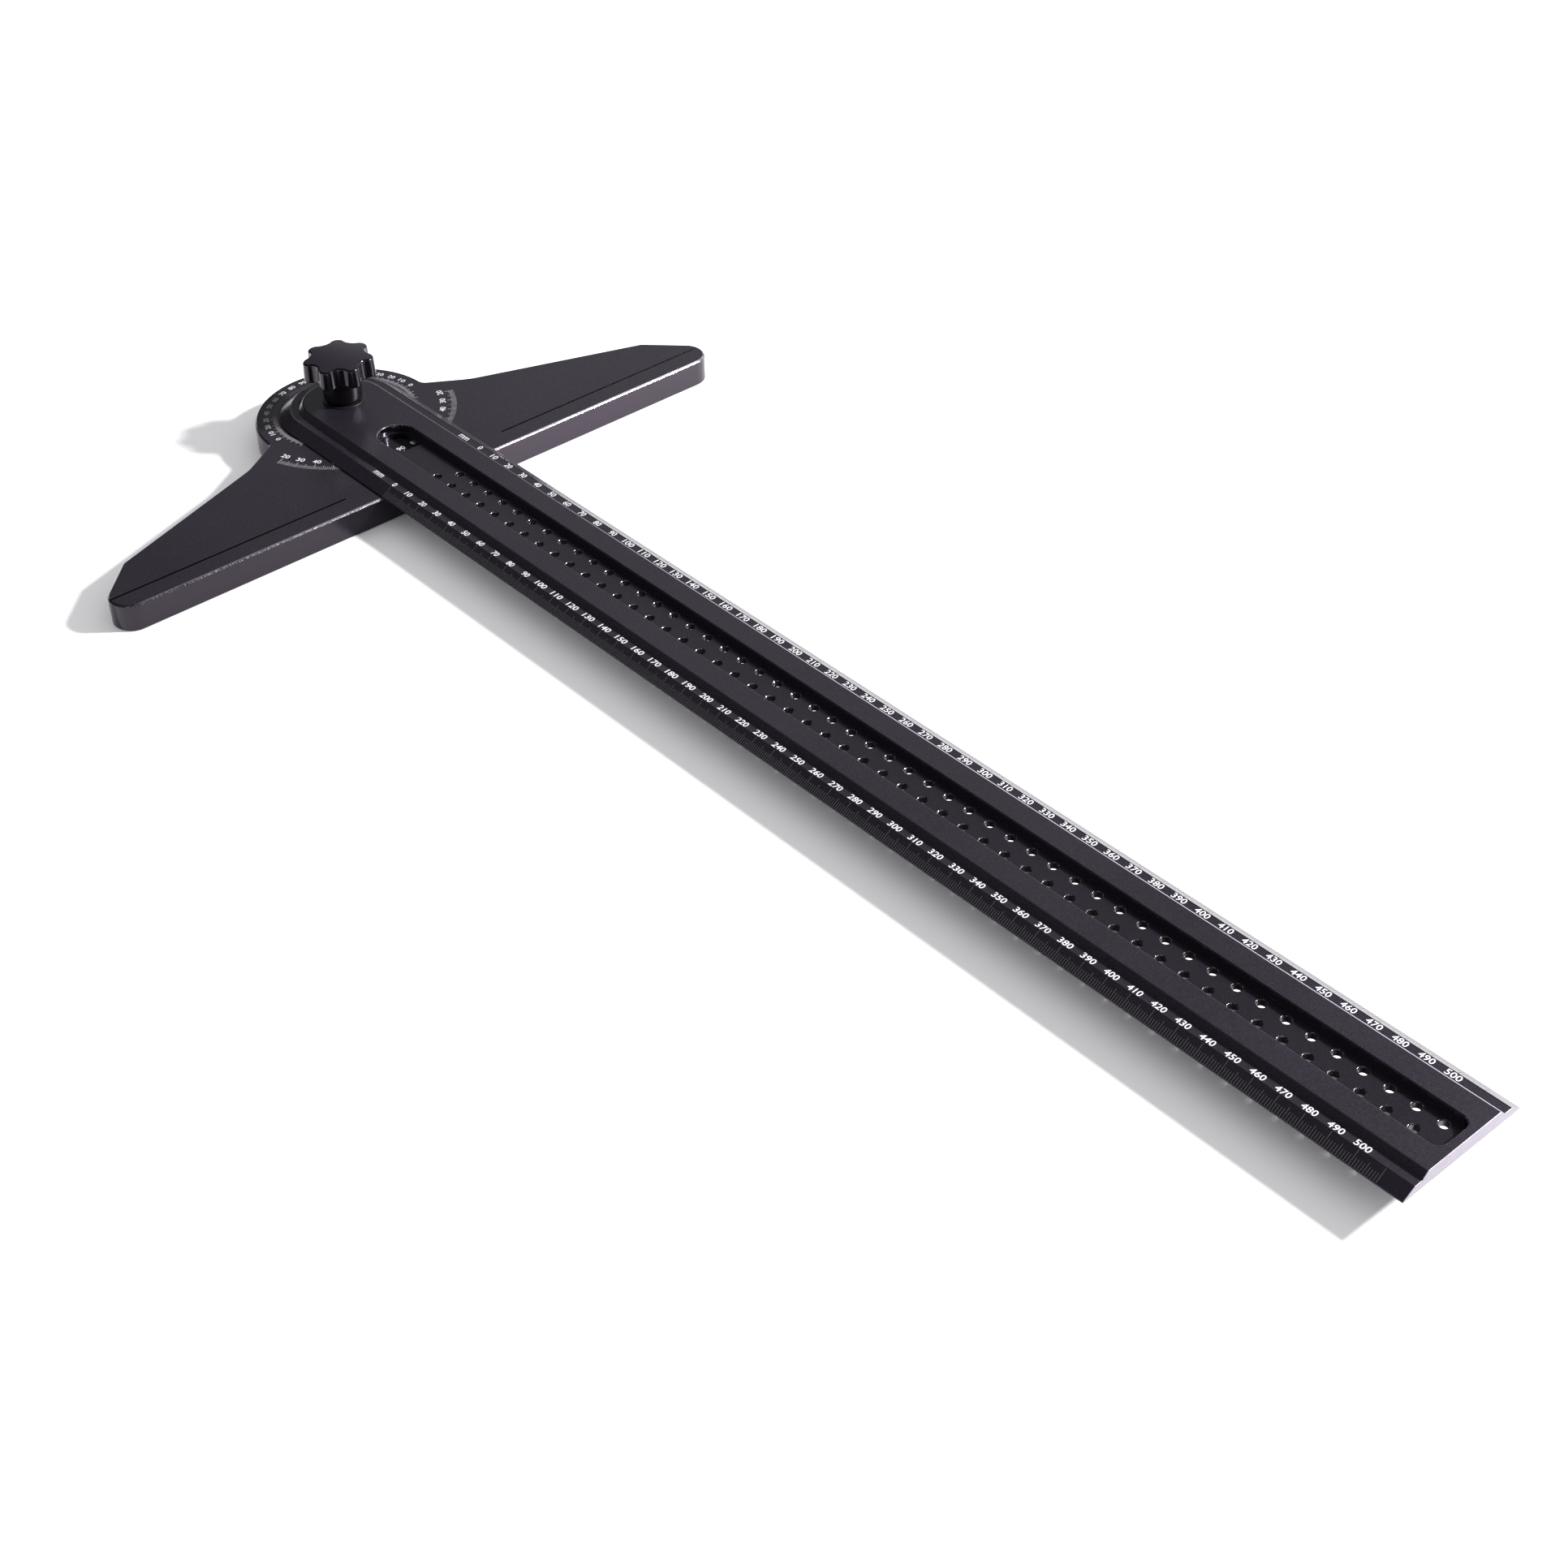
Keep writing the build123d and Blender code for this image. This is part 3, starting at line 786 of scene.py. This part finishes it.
def make_ring_numbers():
    """0 to 90 round the lobe, with their feet towards the knob."""
    batch = Batch()
    for side, degrees in both_sides(first=0, step=10):
        angle = math.radians(side * (90 + degrees))
        width = 1.65 if degrees == 0 else 3.35
        label = text_mesh(str(degrees), height=2.35, width=width, weight=0.011)
        place = (*polar(RING_NUMBER_RADIUS, angle), HEAD_TOP)
        batch.text(label, place, angle - math.pi / 2)
    return batch.make("head_ring_numbers")


def make_wing_numbers():
    """20 to 90 along the wings, with their heads towards the knob."""
    batch = Batch()
    for side, degrees in both_sides(first=20, step=10):
        zero = 88.5 if degrees == 50 else 90.0      # the two 50s sit a little off their tick
        angle = math.radians(side * zero - side * degrees)
        label = text_mesh(str(degrees), height=2.62, width=3.70, weight=0.011)
        place = (*polar(WING_NUMBER_RADIUS, angle), HEAD_TOP)
        batch.text(label, place, angle + math.pi / 2)
    return batch.make("head_wing_numbers")


# ---------------------------------------------------------------------------
# blade scales, one on each long side, with zero at the fence
# ---------------------------------------------------------------------------
# the sloping face of the blade in section: y, height above the underside
SLOPE_FOOT = (BLADE_HALF_WIDTH, 0.5)
SLOPE_CREST = (23.3, 3.72)
TICK_START = 0.12                   # up the slope from its foot
# every so many millimetres: share of the slope reached, width
BLADE_TICKS = ((10, 0.93, 0.15), (5, 0.71, 0.14), (1, 0.53, 0.13))
LAST_TICK, LAST_NUMBER = 510, 500
NUMBER_Y = 21.72
NUMBER_WIDTHS = {1: 1.70, 2: 3.50, 3: 5.80}     # by count of digits


def make_blade_ticks():
    batch = Batch()
    run = SLOPE_CREST[0] - SLOPE_FOOT[0]
    rise = SLOPE_CREST[1] - SLOPE_FOOT[1]
    length = math.hypot(run, rise)
    along_y, along_z = run / length, rise / length
    out_y, out_z = along_z, -along_y            # outward normal of the slope
    sunk = -MARK_THICKNESS / 2
    for side in (1, -1):
        up = (0, side * out_y * MARK_THICKNESS, out_z * MARK_THICKNESS)
        for value in range(LAST_TICK + 1):
            share, width = tick_size(value, BLADE_TICKS)
            middle = FENCE_X + value
            left, right = middle - width / 2, middle + width / 2
            end = length * share
            base = []
            for reach, x in ((TICK_START, left), (end, left), (end, right), (TICK_START, right)):
                y = SLOPE_FOOT[0] + along_y * reach + out_y * sunk
                z = BLADE_Z + SLOPE_FOOT[1] + along_z * reach + out_z * sunk
                base.append((x, side * y, z))
            batch.prism(base, up)
    return batch.make("blade_scale_ticks")


def make_blade_numbers():
    batch = Batch()
    labels = {}
    for value in range(0, LAST_NUMBER + 1, 10):
        digits = str(value)
        width = NUMBER_WIDTHS[len(digits)]
        labels[value] = text_mesh(digits, height=2.7, width=width, weight=0.011)
    labels[-11.7] = text_mesh("mm", height=2.15, width=5.9, weight=0.003)
    for side in (1, -1):
        for offset, label in labels.items():
            batch.text(label, (FENCE_X + offset, side * NUMBER_Y, LEDGE_Z), 0.0)
    return batch.make("blade_scale_numbers")


ring_ticks = dial_ticks("head_ring_ticks", first=-20, direction=1, rows=RING_TICKS)
wing_ticks = dial_ticks("head_wing_ticks", first=20, direction=-1, rows=WING_TICKS)
ring_numbers = make_ring_numbers()
wing_numbers = make_wing_numbers()
blade_ticks = make_blade_ticks()
blade_numbers = make_blade_numbers()

for scale, body, material in (
    (ring_ticks, "head", ring_mat),
    (wing_ticks, "head", wing_mat),
    (ring_numbers, "head", ring_number_mat),
    (wing_numbers, "head", mark_mat),
    (blade_ticks, "blade", faint_mat),
    (blade_numbers, "blade", mark_mat),
):
    scale.data.materials.append(material)
    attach(scale, body)


# ---------------------------------------------------------------------------
# floor, world, light, camera (metres)
# ---------------------------------------------------------------------------
def make_floor():
    bpy.ops.mesh.primitive_plane_add(size=14.0, location=(0.3, 0.0, -0.0002))
    floor = bpy.context.object
    floor.name = "floor"
    m = Material("floor_white")
    clouds = m.noise(m.coord(), scale=3.0, detail=2.0, rough=0.5)
    m.set("Base Color", m.mix_colour((0.88, 0.88, 0.88), by=clouds, to=(0.90, 0.90, 0.90)))
    m.set("Roughness", 0.9)
    m.set("Specular IOR Level", 0.0)
    floor.data.materials.append(m.material)


def make_world():
    """Even fill for matt surfaces; glossy rays see a pale wall on one side of a dark room."""
    ambient = 0.73
    azimuth = math.radians(105.0)       # of the wall's middle, from +X towards +Y
    world = bpy.data.worlds.new("studio")
    bpy.context.scene.world = world
    world.use_nodes = True
    world.cycles.sampling_method = "NONE"
    g = Graph(world.node_tree)
    output = g.node("ShaderNodeOutputWorld")
    view = g.axes(g.node("ShaderNodeTexCoord").outputs["Generated"])
    flat = g.node("ShaderNodeCombineXYZ", {"X": view["X"], "Y": view["Y"]}).outputs[0]
    unit = g.node("ShaderNodeVectorMath", {0: flat}, operation="NORMALIZE").outputs[0]
    facing = g.dot(unit, (math.cos(azimuth), math.sin(azimuth), 0.0))
    wall = g.ramp(facing, over=(0.574, 0.819), shape="SMOOTHSTEP")
    # the wall's brightness falls off upwards in two steps
    height = g.math(
        "ADD",
        g.ramp(view["Z"], over=(0.50, 0.71), to=(0.38, 0.02), shape="SMOOTHSTEP"),
        g.ramp(view["Z"], over=(0.14, 0.42), to=(0.50, 0.0), shape="SMOOTHSTEP"),
    )
    room = g.math("ADD", g.times(wall, height), 0.03)
    glossy = g.node("ShaderNodeLightPath").outputs["Is Glossy Ray"]
    strength = g.mix_value(ambient, by=glossy, to=room)
    inputs = {"Color": (0.985, 0.98, 1.0), "Strength": strength}
    g.feed(output.inputs[0], g.node("ShaderNodeBackground", inputs).outputs[0])


def make_key_light():
    place = Vector((1.45, 1.62, 1.38))
    target = Vector((0.25, 0.0, 0.0))
    light = bpy.data.lights.new("key", "AREA")
    light.shape = "DISK"
    light.size = 0.27
    light.energy = 136.0
    holder = bpy.data.objects.new("key", light)
    holder.location = place
    holder.rotation_euler = (place - target).to_track_quat("Z", "Y").to_euler()
    bpy.context.scene.collection.objects.link(holder)


def make_camera():
    camera = bpy.data.cameras.new("camera")
    camera.sensor_width = 36.0
    camera.sensor_fit = "HORIZONTAL"
    camera.lens = 57.317795
    camera.clip_start = 0.01
    camera.clip_end = 30.0
    holder = bpy.data.objects.new("camera", camera)
    right = Vector((0.66156033, 0.7497653, -0.01378137)).normalized()
    back = Vector((0.592423, -0.51128447, 0.62259391)).normalized()
    up = back.cross(right).normalized()
    right = up.cross(back).normalized()
    pose = Matrix((right, up, back)).transposed().to_4x4()
    pose.translation = (0.84310963, -0.47978125, 0.55813024)
    holder.matrix_world = pose
    bpy.context.scene.collection.objects.link(holder)
    bpy.context.scene.camera = holder


make_floor()
make_world()
make_key_light()
make_camera()
view_settings = bpy.context.scene.view_settings
view_settings.view_transform = "Standard"
view_settings.look = "None"
view_settings.exposure = 0.0
